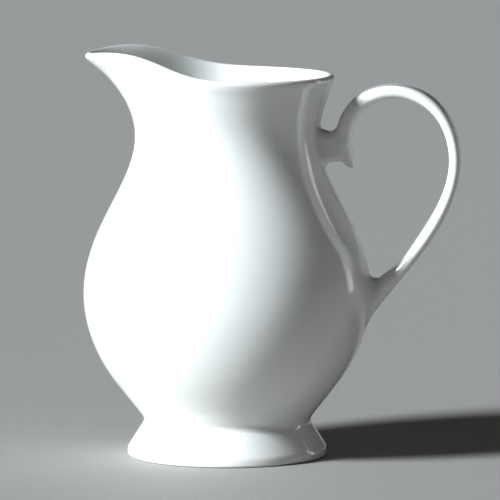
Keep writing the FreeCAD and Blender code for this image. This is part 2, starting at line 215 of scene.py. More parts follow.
SKIN_VOXEL = 0.36
SKIN_SMOOTHING = 4
SKIN_PASSES = 5              # rounds in which the skin settles on the handle
TRIM_PASSES = 6              # and in which its cut ends settle near the vessel
BEAD_STEPS = 14              # across the hollow of a bead
BEAD_AROUND = 144            # along a bead at the handle
BEAD_PASSES = 3              # rounds in which its first edge settles
BALL_PASSES = 25             # rounds in which a rolling ball settles
BALL_STRIDE = 0.8            # furthest it may move in one round
PROBE = 0.02                 # distance between samples for a slope
LEAST_CROSSING = 1e-4        # keeps a step finite where two shapes run parallel
LEAST_LENGTH = 1e-9          # keeps a unit direction finite


# ---- camera ----------------------------------------------------------------
# A long lens a little above the rim, swung slightly towards the handle.
CAMERA_AZIMUTH = math.radians(4.5)
CAMERA_ELEVATION = math.radians(6.4)
CAMERA_DISTANCE = 1.618                          # metres
CAMERA_TARGET = Vector((0.0066, 0.0, 0.0597))    # metres
CAMERA_LENS = 401.7
CAMERA_SENSOR = 36.0
CAMERA_CLIP_END = 100.0                          # metres

camera_data = bpy.data.cameras.new("camera")
camera = bpy.data.objects.new("camera", camera_data)
bpy.context.collection.objects.link(camera)
bpy.context.scene.camera = camera
camera_back = Vector((math.sin(CAMERA_AZIMUTH) * math.cos(CAMERA_ELEVATION),
                      -math.cos(CAMERA_AZIMUTH) * math.cos(CAMERA_ELEVATION),
                      math.sin(CAMERA_ELEVATION)))
camera.location = CAMERA_TARGET + camera_back * CAMERA_DISTANCE
camera.rotation_euler = (-camera_back).to_track_quat("-Z", "Y").to_euler()
camera_data.lens = CAMERA_LENS
camera_data.sensor_width = CAMERA_SENSOR
camera_data.clip_end = CAMERA_CLIP_END


# ---- curves ----------------------------------------------------------------

def running_length(points):
    """Length along a chain of points, from 0."""
    steps = np.linalg.norm(np.diff(points, axis=0), axis=1)
    return np.concatenate([[0.0], np.cumsum(steps)])


class Spline:
    """Smooth cubic curve through points, each reached at its own place."""

    def __init__(self, points, places=None):
        self.points = np.asarray(points, dtype=float)
        if places is None:
            places = running_length(self.points)
        self.places = np.asarray(places, dtype=float)
        count = len(self.places)
        run = np.diff(self.places)
        grid = np.zeros((count, count))
        right = np.zeros_like(self.points)
        grid[0, 0] = grid[-1, -1] = 1.0
        right[0] = self.end_slope(slice(0, 4), self.places[0])
        right[-1] = self.end_slope(slice(count - 4, count), self.places[-1])
        for i in range(1, count - 1):
            grid[i, i - 1] = 1 / run[i - 1]
            grid[i, i] = 2 / run[i - 1] + 2 / run[i]
            grid[i, i + 1] = 1 / run[i]
            right[i] = (3 * (self.points[i] - self.points[i - 1]) / run[i - 1] ** 2
                        + 3 * (self.points[i + 1] - self.points[i]) / run[i] ** 2)
        flat = right.reshape(count, -1)
        self.slopes = np.linalg.solve(grid, flat).reshape(self.points.shape)

    def end_slope(self, part, at):
        """Slope at one end of the cubic through the four points there."""
        t = self.places[part] - at
        powers = np.stack([np.ones(4), t, t ** 2, t ** 3], axis=1)
        flat = self.points[part].reshape(4, -1)
        return np.linalg.solve(powers, flat)[1].reshape(self.points.shape[1:])

    def __call__(self, at):
        """Points of the curve at the given places."""
        at = np.asarray(at, dtype=float)
        i = np.searchsorted(self.places, at, side="right") - 1
        i = np.clip(i, 0, len(self.places) - 2)
        run = self.places[i + 1] - self.places[i]
        s = (at - self.places[i]) / run
        shape = s.shape + (1,) * (self.points.ndim - 1)
        s, run = s.reshape(shape), run.reshape(shape)
        return (self.points[i] * (2 * s ** 3 - 3 * s ** 2 + 1)
                + self.slopes[i] * run * (s ** 3 - 2 * s ** 2 + s)
                + self.points[i + 1] * (3 * s ** 2 - 2 * s ** 3)
                + self.slopes[i + 1] * run * (s ** 3 - s ** 2))


def directions(spline, places, step=1e-3):
    """Unit direction of a curve at the given places."""
    ahead = spline(np.minimum(places + step, spline.places[-1]))
    behind = spline(np.maximum(places - step, spline.places[0]))
    run = ahead - behind
    return run / np.linalg.norm(run, axis=-1, keepdims=True)


# ---- meshes ----------------------------------------------------------------

def full_turn(count):
    """Evenly spaced angles round the Z axis."""
    return np.arange(count) * 2 * math.pi / count


def grid_faces(rows, columns, wrap_rows=False):
    """Quads of a grid that closes on itself along its columns."""
    faces = []
    for i in range(rows if wrap_rows else rows - 1):
        n = (i + 1) % rows
        for j in range(columns):
            k = (j + 1) % columns
            faces.append((i * columns + j, i * columns + k,
                          n * columns + k, n * columns + j))
    return faces


def end_caps(rows, columns):
    """One face over the first row of a grid and one over the last."""
    last = (rows - 1) * columns
    return [tuple(reversed(range(columns))), tuple(last + j for j in range(columns))]


def hand_of_the_potter(points):
    """Very slight unevenness of fired clay, always towards the axis."""
    x, y, z = points[:, 0], points[:, 1], points[:, 2]
    turn = np.arctan2(y, x)
    wave = RING_HEIGHT * np.sin(z / RING_PITCH + RING_SWAY * np.sin(turn + RING_PHASE))
    highest = RING_HEIGHT
    for height, lobes, phase, pitch in (OVAL_WAVE, THREE_LOBED_WAVE):
        wave = wave + height * np.sin(lobes * turn + phase + z / pitch)
        highest += height
    radius = np.hypot(x, y)
    share = 1 + UNEVENNESS * (wave - highest) / np.maximum(radius, CALM_RADIUS)
    return np.stack([x * share, y * share, z], axis=1)


def make_mesh(name, vertices, faces):
    """A smooth mesh object from vertices in millimetres, riding on the root."""
    mesh = bpy.data.meshes.new(name)
    vertices = hand_of_the_potter(np.asarray(vertices))
    mesh.from_pydata((vertices * MM).tolist(), [], faces)
    mesh.polygons.foreach_set("use_smooth", [True] * len(mesh.polygons))
    mesh.update()
    piece = bpy.data.objects.new(name, mesh)
    bpy.context.collection.objects.link(piece)
    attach(piece, "root")
    return piece


def turn_profile(profile, around):
    """Rows of vertices from spinning (radius, height) points about Z."""
    turns = full_turn(around)
    radius, height = profile[:, 0][:, None], profile[:, 1][:, None]
    return np.stack([radius * np.cos(turns), radius * np.sin(turns),
                     height + 0 * turns], axis=-1)


# ---- vessel ----------------------------------------------------------------

outer_profile = Spline([
    (WAIST_RADIUS, WAIST_HEIGHT),
    (CUP_SHARE * BELLY_RADIUS, CUP_HEIGHT),
    (LOW_BELLY_SHARE * BELLY_RADIUS, LOW_BELLY_HEIGHT),
    (BELLY_RADIUS, BELLY_HEIGHT),
    (SHOULDER_SHARE * BELLY_RADIUS, SHOULDER_HEIGHT),
    (SLOPE_SHARE * BELLY_RADIUS, SLOPE_HEIGHT),
    (NECK_RADIUS, NECK_HEIGHT),
    (RIM_RADIUS - THROAT_INSET, RIM_HEIGHT - THROAT_DEPTH),
    (RIM_RADIUS + 0.5 * RIM_WALL, RIM_HEIGHT - RIM_TURN * RIM_WALL)])


def draw_lip(points, turn):
    """Carry points (radius, height) of the round vessel into the drawn lip."""
    radius, height = points[:, 0], points[:, 1]
    span = RIM_HEIGHT - 0.5 * RIM_WALL - LIP_START_HEIGHT
    up = np.maximum(0.0, (height - LIP_START_HEIGHT) / span)
    away = (turn - math.pi) / math.radians(LIP_SPREAD)
    reach = LIP_REACH * math.exp(-away * away)
    rim_x = (RIM_RADIUS + reach) * math.cos(turn)
    rise = 0.5 * LIP_RISE * (1 + math.tanh((LIP_RISE_MIDDLE - rim_x) / LIP_RISE_LENGTH))
    beyond = max(0.0, (-rim_x - LIP_TIP_START) / LIP_TIP_LENGTH)
    rise -= LIP_TIP_DROP * beyond * beyond
    return np.stack([radius + reach * up ** LIP_CURL,
                     height + rise * up ** LIP_LIFT], axis=1)


def rim_round(edge, inward, upward):
    """Half circle over the wall at the rim, without its two ends."""
    half = 0.5 * RIM_WALL
    middle = edge + inward * half
    angle = math.pi * np.arange(1, RIM_STEPS)[:, None] / RIM_STEPS
    return middle - inward * half * np.cos(angle) + upward * half * np.sin(angle)


def section(turn):
    """Half section of the vessel wall at one angle, outside to inside."""
    share = np.arange(WALL_STATIONS + 1) / WALL_STATIONS
    crowded = 1 - (1 - share) ** WALL_CROWDING
    outside = draw_lip(outer_profile(outer_profile.places[-1] * crowded), turn)
    curve = Spline(outside)
    along = directions(curve, curve.places)
    inward = np.stack([-along[:, 1], along[:, 0]], axis=1)
    wall = BELLY_WALL + (RIM_WALL - BELLY_WALL) * share ** 2
    inside = outside + inward * wall[:, None]
    rim = rim_round(outside[-1], inward[-1], along[-1])
    bowl = inside[::-1]
    bowl = bowl[bowl[:, 1] > FLOOR_HEIGHT + WALL_FOOT]
    floor = [(FLOOR_TURN_RADIUS, FLOOR_HEIGHT + FLOOR_TURN_RISE),
             (FLOOR_EASE_RADIUS, FLOOR_HEIGHT + FLOOR_EASE_RISE),
             (FLOOR_RADIUS, FLOOR_HEIGHT)]
    return np.concatenate([outside, rim, bowl, floor])


def level_rings(radii, height):
    """Rings (radius, height) that close a flat middle, one row for each radius."""
    return np.stack([np.stack([np.full(AROUND, radius), np.full(AROUND, height)], axis=-1)
                     for radius in radii])


def make_body():
    """Belly, neck, rim and lip: one wall, closed underneath and inside."""
    turns = full_turn(AROUND)
    sections = np.stack([section(turn) for turn in turns], axis=1)
    guide = running_length(section(0.5 * math.pi))
    fine = [np.linspace(a, b, ROWS_PER_STATION, endpoint=False)
            for a, b in zip(guide, guide[1:])]
    wall = Spline(sections, guide)(np.concatenate(fine + [guide[-1:]]))
    under = level_rings([WAIST_RADIUS * share for share in UNDERSIDE_RINGS], WAIST_HEIGHT)
    floor = level_rings([FLOOR_RADIUS * share for share in FLOOR_RINGS], FLOOR_HEIGHT)
    rows = np.concatenate([under, wall, floor])
    radius, height = rows[..., 0], rows[..., 1]
    points = np.stack([radius * np.cos(turns), radius * np.sin(turns), height], axis=-1)
    faces = grid_faces(len(rows), AROUND) + end_caps(len(rows), AROUND)
    piece = make_mesh("vessel_body", points.reshape(-1, 3), faces)
    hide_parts("body")
    return piece


# ---- foot ------------------------------------------------------------------

def rounded_chain(corners, radii, steps=8):
    """Straight runs joined by tangent arcs at the inner corners."""
    corners = [np.array(c, dtype=float) for c in corners]
    chain = [corners[0]]
    for before, corner, after, radius in zip(corners, corners[1:], corners[2:], radii):
        a = (before - corner) / np.linalg.norm(before - corner)
        b = (after - corner) / np.linalg.norm(after - corner)
        half = 0.5 * math.acos(np.clip(a @ b, -1, 1))
        centre = corner + (a + b) / np.linalg.norm(a + b) * radius / math.sin(half)
        start = corner + a * radius / math.tan(half) - centre
        end = corner + b * radius / math.tan(half) - centre
        sweep = math.acos(np.clip(start @ end / radius ** 2, -1, 1))
        for i in range(steps + 1):
            s = i / steps
            chain.append(centre + (start * math.sin((1 - s) * sweep)
                                   + end * math.sin(s * sweep)) / math.sin(sweep))
    chain.append(corners[-1])
    return np.array(chain)


def dense(chain, longest):
    """Split the long straight runs of a chain."""
    out = []
    for a, b in zip(chain, chain[1:]):
        pieces = max(1, math.ceil(np.linalg.norm(b - a) / longest))
        out += [a + (b - a) * i / pieces for i in range(pieces)]
    return np.array(out + [chain[-1]])


FLARE_TOP = (WAIST_RADIUS, WAIST_HEIGHT)
FLARE_BOTTOM = (FOOT_RADIUS, FOOT_EDGE_HEIGHT)


def flare_radius(height):
    """Radius of the straight flare of the foot at a height."""
    share = (WAIST_HEIGHT - height) / (WAIST_HEIGHT - FOOT_EDGE_HEIGHT)
    return WAIST_RADIUS + (FOOT_RADIUS - WAIST_RADIUS) * share


def make_foot():
    """Hollow flared foot on a flat ring."""
    corners = [(flare_radius(FOOT_HEIGHT), FOOT_HEIGHT), FLARE_BOTTOM,
               (FOOT_RADIUS, TABLE_HEIGHT), (FOOT_RADIUS - RESTING_RING_WIDTH, TABLE_HEIGHT),
               (RECESS_RADIUS, FOOT_HEIGHT)]
    rounds = [FOOT_EDGE_ROUND, FOOT_TOE_ROUND, INNER_TOE_ROUND]
    chain = dense(rounded_chain(corners, rounds), FOOT_RUN)
    points = turn_profile(chain, AROUND)
    faces = [tuple(reversed(face)) for face in grid_faces(len(chain), AROUND, wrap_rows=True)]
    piece = make_mesh("pedestal_foot", points.reshape(-1, 3), faces)
    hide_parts("foot")
    return piece


# ---- distances to the shapes -------------------------------------------------

def nearest_on_chain(points, chain):
    """Index, share along the run, distance and gap to the nearest run of a chain."""
    guides = chain[::COARSE]
    apart = ((points[:, None, :] - guides[None]) ** 2).sum(axis=2)
    first = apart.argmin(axis=1) * COARSE - COARSE
    runs = np.clip(first[:, None] + np.arange(2 * COARSE), 0, len(chain) - 2)
    a = chain[runs]
    run = chain[runs + 1] - a
    rel = points[:, None, :] - a
    share = np.clip((rel * run).sum(axis=2) / (run ** 2).sum(axis=2), 0, 1)
    gap = rel - share[..., None] * run
    square = (gap ** 2).sum(axis=2)
    best = square.argmin(axis=1)
    pick = np.arange(len(points))
    return runs[pick, best], share[pick, best], np.sqrt(square[pick, best]), gap[pick, best]


profile_chain = outer_profile(
    np.linspace(0, outer_profile.places[-1] * PROFILE_SHARE, PROFILE_STEPS))


def radius_and_height(points):
    """Points of space as points of the half section through them."""
    return np.stack([np.hypot(points[:, 0], points[:, 1]), points[:, 2]], axis=1)


def vessel_distance(points):
    """Signed distance to the round outside of the vessel, positive outside."""
    best, _, far, gap = nearest_on_chain(radius_and_height(points), profile_chain)
    run = profile_chain[best + 1] - profile_chain[best]
    side = gap[:, 0] * run[:, 1] - gap[:, 1] * run[:, 0]
    return np.where(side > 0, far, -far)


def flare_distance(points):
    """Signed distance to the flare of the foot."""
    top, bottom = np.array(FLARE_TOP), np.array(FLARE_BOTTOM)
    run = (bottom - top) / np.linalg.norm(bottom - top)
    out = np.array([-run[1], run[0]])
    return (radius_and_height(points) - top) @ out


strap_path = Spline([SPUR_TIP, ARM_CROSSING, RISE, CROWN, CROWN_BACK,
                     GRIP, GRIP_LOW, RETURN, ROOT, ROOT_END])
path_share = np.linspace(0, 1, PATH_STEPS)
path_chain = strap_path(strap_path.places[-1] * path_share)


def eased(share):
    """From 0 to 1 with soft ends."""
    share = np.clip(share, 0.0, 1.0)
    return share * share * (3 - 2 * share)


def swelling(share, height, place, length):
    """A smooth swelling of the strap about one place."""
    return height * np.exp(-((share - place) / length) ** 2)


def strap_sides(share):
    """Thickness of the strap inside and outside of its middle line."""
    taper = np.minimum(1.0, share / SPUR_TAPER)
    tip = np.sqrt(np.maximum(0.0, 1 - (1 - taper) ** 2))
    extra = (swelling(share, CROWN_EXTRA, CROWN_PLACE, CROWN_LENGTH)
             + swelling(share, LOW_EXTRA, LOW_PLACE, LOW_LENGTH)
             + swelling(share, ROOT_EXTRA, 1, ROOT_LENGTH))
    half = 0.5 * (STRAP_THICKNESS + extra) * (SPUR_EDGE + (1 - SPUR_EDGE) * tip)
    inner = eased((share - INNER_FLARE_START) / (INNER_FLARE_END - INNER_FLARE_START))
    outer = eased((share - OUTER_FLARE_START) / (OUTER_FLARE_END - OUTER_FLARE_START))
    return half + INNER_FLARE * inner, half + OUTER_FLARE * outer


def strap_half_width(share):
    """Half of the strap's width, less towards the spur."""
    return 0.5 * STRAP_WIDTH * np.minimum(1.0, SPUR_WIDTH + share / SPUR_WIDENING)


def strap_distance(points):
    """Signed distance to the strap: a rounded bar swept along its path."""
    best, share, _, gap = nearest_on_chain(points[:, [0, 2]], path_chain)
    along = (best + share) / (PATH_STEPS - 1)
    run = path_chain[best + 1] - path_chain[best]
    run = run / np.linalg.norm(run, axis=1)[:, None]
    past = np.abs((gap * run).sum(axis=1))
    inward = gap[:, 0] * run[:, 1] - gap[:, 1] * run[:, 0]
    inner, outer = strap_sides(along)
    off = np.abs(inward - 0.5 * (inner - outer))
    wide = np.abs(points[:, 1])
    half_width = strap_half_width(along)
    dome = STRAP_DOME * np.minimum(STRAP_DOME_LIMIT, wide / half_width) ** 2
    half_thick = 0.5 * (inner + outer) * (1 - dome)
    edge = STRAP_EDGE_SHARE * np.minimum(half_thick, STRAP_EDGE_MOST)
    over_width, over_thick = wide - (half_width - edge), off - (half_thick - edge)
    outside = np.sqrt(np.maximum(over_width, 0) ** 2 + np.maximum(over_thick, 0) ** 2
                      + past ** 2)
    return outside + np.minimum(np.maximum(over_width, over_thick), 0) - edge


def arm_heights(x):
    """Top and underside of the arm at x."""
    return (ARM_TOP + ARM_TOP_CURVE * (x - ARM_TOP_X) ** 2,
            ARM_BOTTOM - ARM_BOTTOM_CURVE * (x - ARM_BOTTOM_X) ** 2)


def arm_distance(points):
    """Signed distance to the short arm, hollowed above and below."""
    x = np.clip(points[:, 0], ARM_START_X, ARM_END_X)
    top, bottom = arm_heights(x)
    tilt_top = 2 * ARM_TOP_CURVE * (x - ARM_TOP_X)
    tilt_bottom = 2 * ARM_BOTTOM_CURVE * (x - ARM_BOTTOM_X)
    above = (points[:, 2] - top) / np.sqrt(1 + tilt_top ** 2)
    below = (bottom - points[:, 2]) / np.sqrt(1 + tilt_bottom ** 2)
    over_height = np.maximum(above, below) + ARM_EDGE
    over_width = np.abs(points[:, 1]) - (0.5 * ARM_WIDTH - ARM_EDGE)
    over_end = points[:, 0] - ARM_END_X + ARM_EDGE
    outside = np.sqrt(np.maximum(over_end, 0) ** 2 + np.maximum(over_width, 0) ** 2
                      + np.maximum(over_height, 0) ** 2)
    most = np.maximum(np.maximum(over_end, over_width), over_height)
    return outside + np.minimum(most, 0) - ARM_EDGE


def handle_distance(points):
    """Signed distance to strap and arm, melted into one."""
    strap, arm = strap_distance(points), arm_distance(points)
    mix = np.maximum(MELD - np.abs(strap - arm), 0) / MELD
    return np.minimum(strap, arm) - mix ** 2 * MELD * 0.25


def gradient(distance, points):
    """Outward unit direction of a distance at each point."""
    columns = []
    for axis in np.eye(3) * PROBE:
        columns.append(distance(points + axis) - distance(points - axis))
    g = np.stack(columns, axis=1)
    return g / np.maximum(np.linalg.norm(g, axis=1, keepdims=True), LEAST_LENGTH)


def pulled(points, distance, gap=0.0):
    """Points drawn to where a distance is equal to the gap."""
    return points - gradient(distance, points) * (distance(points) - gap)[:, None]


# ---- handle ----------------------------------------------------------------

def bar(rows):
    """Vertices and faces of a closed bar through rings of points."""
    count, around = len(rows), len(rows[0])
    return np.concatenate(rows), grid_faces(count, around) + end_caps(count, around)


def strap_bar():
    """Plain bar where the strap is."""
    angle = full_turn(BAR_AROUND)
    rows = []
    for i in range(0, PATH_STEPS, BAR_STRIDE):
        step = path_chain[min(i + 1, PATH_STEPS - 1)] - path_chain[max(i - 1, 0)]
        step = step / np.linalg.norm(step)
        inner, outer = strap_sides(path_share[i])
        wide = strap_half_width(path_share[i]) * np.cos(angle)
        thick = 0.5 * (inner - outer) + 0.5 * (inner + outer) * np.sin(angle)
        rows.append(np.stack([path_chain[i][0] + step[1] * thick, wide,
                              path_chain[i][1] - step[0] * thick], axis=1))
    return bar(rows)


def arm_bar():
    """Plain bar where the arm is."""
    angle = full_turn(BAR_AROUND)
    wide = 0.5 * ARM_WIDTH * np.cos(angle)
    rows = []
    for x in np.linspace(ARM_BAR_START_X, ARM_END_X, ARM_BAR_ROWS):
        top, bottom = arm_heights(x)
        height = 0.5 * (top + bottom) + 0.5 * (top - bottom) * np.sin(angle)
        rows.append(np.stack([np.full(BAR_AROUND, x), wide, height], axis=1))
    return bar(rows)


def even_skin(vertices, faces):
    """Evenly meshed skin round overlapping bars, as points and faces."""
    rough = bpy.data.meshes.new("rough_handle")
    rough.from_pydata((vertices * MM).tolist(), [], faces)
    holder = bpy.data.objects.new("rough_handle", rough)
    bpy.context.collection.objects.link(holder)
    remesh = holder.modifiers.new("even", "REMESH")
    remesh.mode = "VOXEL"
    remesh.voxel_size = SKIN_VOXEL * MM
    smooth = holder.modifiers.new("soft", "SMOOTH")
    smooth.factor = 0.5
    smooth.iterations = SKIN_SMOOTHING
    even = bpy.data.meshes.new_from_object(
        holder.evaluated_get(bpy.context.evaluated_depsgraph_get()))
    points = np.empty(len(even.vertices) * 3)
    even.vertices.foreach_get("co", points)
    bpy.data.objects.remove(holder)
    return points.reshape(-1, 3) / MM, [tuple(face.vertices) for face in even.polygons]


def open_loops(faces):
    """Rings of vertices along the open edges of a mesh."""
    sides = {(a, b) for face in faces for a, b in zip(face, face[1:] + face[:1])}
    after = {b: a for a, b in sides if (b, a) not in sides}
    loops = []
    while after:
        loop = [next(iter(after))]
        while after.get(loop[-1]) is not None and after[loop[-1]] != loop[0]:
            loop.append(after[loop[-1]])
        for v in loop:
            after.pop(v)
        loops.append(tuple(loop))
    return loops


def trimmed_ends(points, faces):
    """Cut the handle where it comes close to the vessel and close its ends."""
    clear = vessel_distance(points) > END_GAP
    faces = [face for face in faces if any(clear[v] for v in face)]
    low = np.array(sorted({v for face in faces for v in face if not clear[v]}))
    edge = points[low]
    for repeat in range(TRIM_PASSES):
        edge = pulled(edge, vessel_distance, END_GAP)
        edge = pulled(edge, handle_distance)
    points[low] = edge
    used = sorted({v for face in faces for v in face})
    number = {old: new for new, old in enumerate(used)}
    faces = [tuple(number[v] for v in face) for face in faces]
    return points[used], faces + open_loops(faces)


def make_handle():
    """One casting: an even skin drawn tight over the strap and arm shape."""
    strap, strap_faces = strap_bar()
    arm, arm_faces = arm_bar()
    arm_faces = [tuple(v + len(strap) for v in face) for face in arm_faces]
    points, faces = even_skin(np.concatenate([strap, arm]), strap_faces + arm_faces)
    for repeat in range(SKIN_PASSES):
        points = pulled(points, handle_distance)
    points, faces = trimmed_ends(points, faces)
    piece = make_mesh("strap_handle", points, faces)
    normals = gradient(handle_distance, points)
    piece.data.normals_split_custom_set_from_vertices(normals.tolist())
    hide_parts("handle")
    return piece


# ---- slip beads ------------------------------------------------------------

def rolling_ball(first, second, start, u, v, radius):
    """Ball centres that touch both shapes, one in each plane (u, v)."""
    a = np.zeros(len(start))
    b = np.zeros(len(start))

    def miss(a, b):
        """How far the ball stays away from each of the two shapes."""
        at = start + a[:, None] * u + b[:, None] * v
        return first(at) - radius, second(at) - radius

    for repeat in range(BALL_PASSES):
        f, g = miss(a, b)
        f_at_a, g_at_a = miss(a + PROBE, b)
        f_at_b, g_at_b = miss(a, b + PROBE)
        fa, ga = (f_at_a - f) / PROBE, (g_at_a - g) / PROBE
        fb, gb = (f_at_b - f) / PROBE, (g_at_b - g) / PROBE
        det = fa * gb - fb * ga
        det = np.where(np.abs(det) < LEAST_CROSSING, LEAST_CROSSING, det)
        da = -(f * gb - g * fb) / det
        db = -(g * fa - f * ga) / det
        size = np.maximum(1.0, np.hypot(da, db) / BALL_STRIDE)
        a, b = a + da / size, b + db / size
    return start + a[:, None] * u + b[:, None] * v


def bead(first, second, centres, radius):
    """Rows of vertices filling the corner under a row of ball centres.

    The first rows are the visible hollow face, each with its normals; the
    last three lie hidden in the pieces.
    """
    n1 = -gradient(first, centres)
    n2 = -gradient(second, centres)
    radius = np.broadcast_to(np.asarray(radius, dtype=float), (len(centres),))[:, None]
    cosine = np.clip((n1 * n2).sum(axis=1), -1, 1)
    sweep = np.arccos(cosine)[:, None]
    rows, normals = [], []
    for i in range(BEAD_STEPS + 1):
        s = i / BEAD_STEPS
        direction = (n1 * np.sin((1 - s) * sweep) + n2 * np.sin(s * sweep)) / np.sin(sweep)
        rows.append(centres + radius * direction)
        normals.append(-direction)
    # draw the first edge exactly onto its piece, fading out across the bead
    edge = rows[0]
    for repeat in range(BEAD_PASSES):
        edge = pulled(edge, first)
    shift, turned = edge - rows[0], gradient(first, edge) - normals[0]
    for i in range(BEAD_STEPS + 1):
        fade = (1 - i / BEAD_STEPS) ** 2
        rows[i] = rows[i] + shift * fade
        normal = normals[i] + turned * fade
        normals[i] = normal / np.linalg.norm(normal, axis=1, keepdims=True)
    middle = (n1 + n2) / np.linalg.norm(n1 + n2, axis=1, keepdims=True)
    depth = radius / np.maximum(np.cos(0.5 * sweep), BEAD_SHARPEST) + BEAD_CORNER_SINK
    rows += [rows[-1] + n2 * BEAD_SINK, centres + middle * depth, rows[0] + n1 * BEAD_SINK]
    normals += [normals[-1], normals[BEAD_STEPS // 2], normals[0]]
    return rows, normals


def make_bead(name, node, rows, normals, flip):
    """Mesh of a bead whose rows run round it; flip turns its faces over."""
    faces = grid_faces(len(rows), len(rows[0]), wrap_rows=True)
    if flip:
        faces = [tuple(reversed(face)) for face in faces]
    piece = make_mesh(name, np.concatenate(rows), faces)
    piece.data.normals_split_custom_set_from_vertices(np.concatenate(normals).tolist())
    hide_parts(node)
    return piece


def make_foot_slip():
    """Ring of slip between foot and vessel, hollow outside, flush inside."""
    start = np.array([[WAIST_RADIUS + FOOT_SLIP_RADIUS, 0.0, WAIST_HEIGHT]])
    outward, upward = np.array([[1.0, 0, 0]]), np.array([[0, 0, 1.0]])
    centre = rolling_ball(flare_distance, vessel_distance, start, outward, upward,
                          FOOT_SLIP_RADIUS)
    rows, normals = bead(flare_distance, vessel_distance, centre, FOOT_SLIP_RADIUS)
    seen = BEAD_STEPS + 1
    profile = [(row[0][0], row[0][2]) for row in rows[:seen]]
    facing = [(normal[0][0], normal[0][2]) for normal in normals[:seen]]
    high, low = WAIST_HEIGHT + SLIP_PRESS, FOOT_HEIGHT - SLIP_PRESS
    eased_radius = RECESS_RADIUS + SLIP_CHAMFER
    profile += [(WAIST_RADIUS, high), (eased_radius, high),
                (RECESS_RADIUS, high - SLIP_CHAMFER), (RECESS_RADIUS, low + SLIP_CHAMFER),
                (eased_radius, low), (WAIST_RADIUS, low)]
    facing += [(0, 1), (0, 1), (-1, 0), (-1, 0), (0, -1), (0, -1)]
    spun = turn_profile(np.array(profile), AROUND)
    spun_normals = turn_profile(np.array(facing, dtype=float), AROUND)
    return make_bead("slip_at_foot", "foot_slip_joint", list(spun), list(spun_normals), False)


def make_handle_slip(name, node, middle, axis, reach, radius, drawn):
    """Bead round a bar that meets the vessel; axis points out of the wall.

    Below the bar the bead is drawn out to a larger radius.
    """
    turn = full_turn(BEAD_AROUND)
    axis = np.array(axis) / np.linalg.norm(axis)
    up = np.array([-axis[2], 0, axis[0]])
    out = np.cos(turn)[:, None] * np.array([0, 1.0, 0]) + np.sin(turn)[:, None] * up
    radii = radius + drawn * np.maximum(0.0, -np.sin(turn)) ** 3
    along = np.broadcast_to(axis, out.shape)
    start = np.array(middle) + out * (reach + radii[:, None]) + along * radii[:, None]
    centres = rolling_ball(handle_distance, vessel_distance, start, out, along, radii)
    rows, normals = bead(handle_distance, vessel_distance, centres, radii)
    return make_bead(name, node, rows, normals, True)


body = make_body()
foot = make_foot()
handle = make_handle()
foot_slip = make_foot_slip()
upper_slip = make_handle_slip("slip_at_neck", "handle_upper_slip_joint",
                              UPPER_SLIP_MIDDLE, UPPER_SLIP_AXIS, UPPER_SLIP_REACH,
                              UPPER_SLIP_RADIUS, drawn=0.0)
lower_slip = make_handle_slip("slip_at_belly", "handle_lower_slip_joint",
                              LOWER_SLIP_MIDDLE, LOWER_SLIP_AXIS, LOWER_SLIP_REACH,
                              LOWER_SLIP_RADIUS, drawn=LOWER_SLIP_DRAWN)


# ---- glaze -----------------------------------------------------------------
# Colours are linear.  A noise is given by its scale per metre, its detail and
# a shift, so that no two are alike.

GLAZE_COLOUR = (0.86, 0.855, 0.83)
SLIP_COLOUR = (0.855, 0.85, 0.822)
GLAZE_IOR = 1.52
CLOUD_NOISE = (28.0, 3.0, (0.3, 0.1, 0.7))
CLOUD_LEVELS = (0.35, 0.65)
THICK_GLAZE_TINT = (0.972, 0.985, 0.992)         # where the glaze lies thicker
GLOSS_NOISE = (60.0, 2.0, (2.0, 7.0, 0.5))
GLOSS_LEVELS = (0.3, 0.7)
GLAZE_ROUGHNESS = (0.075, 0.115)
SPECK_NOISE = (900.0, 0.0, (4.1, 2.2, 1.3))
SPECK_COLOUR = (0.42, 0.36, 0.29)
SPECK_LEVELS = (0.86, 0.88)                      # noise above which specks show
SPECK_STRENGTH = 0.12
GRAIN_NOISE = (700.0, 4.0, (1.0, 5.0, 2.0))
GRAIN_LEVELS = (0.3, 0.7)
CLAY_COLOURS = (0.78, 0.75, 0.69), (0.66, 0.62, 0.56)
CLAY_ROUGHNESS = 0.75
BARE_CLAY_HEIGHTS = (0.00012, 0.00030)           # metres above the table
RIPPLE_NOISE = (170.0, 1.0, (6.0, 3.0, 8.0))
RIPPLE_STRENGTH = 0.25
RIPPLE_DEPTH = 0.00006                           # metres


class Shading:
    """A new material, with short ways to add nodes to it."""

    def __init__(self, name):
        self.material = bpy.data.materials.new(name)
        self.material.use_nodes = True
        self.nodes = self.material.node_tree.nodes
        self.link = self.material.node_tree.links.new
        self.shader = self.nodes["Principled BSDF"]
        self.place = self.nodes.new("ShaderNodeTexCoord").outputs["Object"]

    def noise(self, scale, detail, shift):
        """Noise over the object, moved by shift."""
        move = self.nodes.new("ShaderNodeVectorMath")
        move.operation = "ADD"
        move.inputs[1].default_value = shift
        self.link(self.place, move.inputs[0])
        texture = self.nodes.new("ShaderNodeTexNoise")
        texture.inputs["Scale"].default_value = scale
        texture.inputs["Detail"].default_value = detail
        self.link(move.outputs[0], texture.inputs["Vector"])
        return texture.outputs["Fac"]

    def span(self, value, levels, results=(0.0, 1.0)):
        """Value carried from between two levels to between two results."""
        box = self.nodes.new("ShaderNodeMapRange")
        ends = zip(("From Min", "From Max", "To Min", "To Max"), levels + results)
        for socket, number in ends:
            box.inputs[socket].default_value = number
        self.link(value, box.inputs["Value"])
        return box.outputs["Result"]

    def blend(self, amount, first, second):
        """Mix of two colours, each given as three numbers or as a socket."""
        mix = self.nodes.new("ShaderNodeMix")
        mix.data_type = "RGBA"
        self.link(amount, mix.inputs["Factor"])
        for socket, value in ((mix.inputs["A"], first), (mix.inputs["B"], second)):
            if isinstance(value, tuple):
                socket.default_value = value + (1.0,)
            else:
                self.link(value, socket)
        return mix.outputs["Result"]


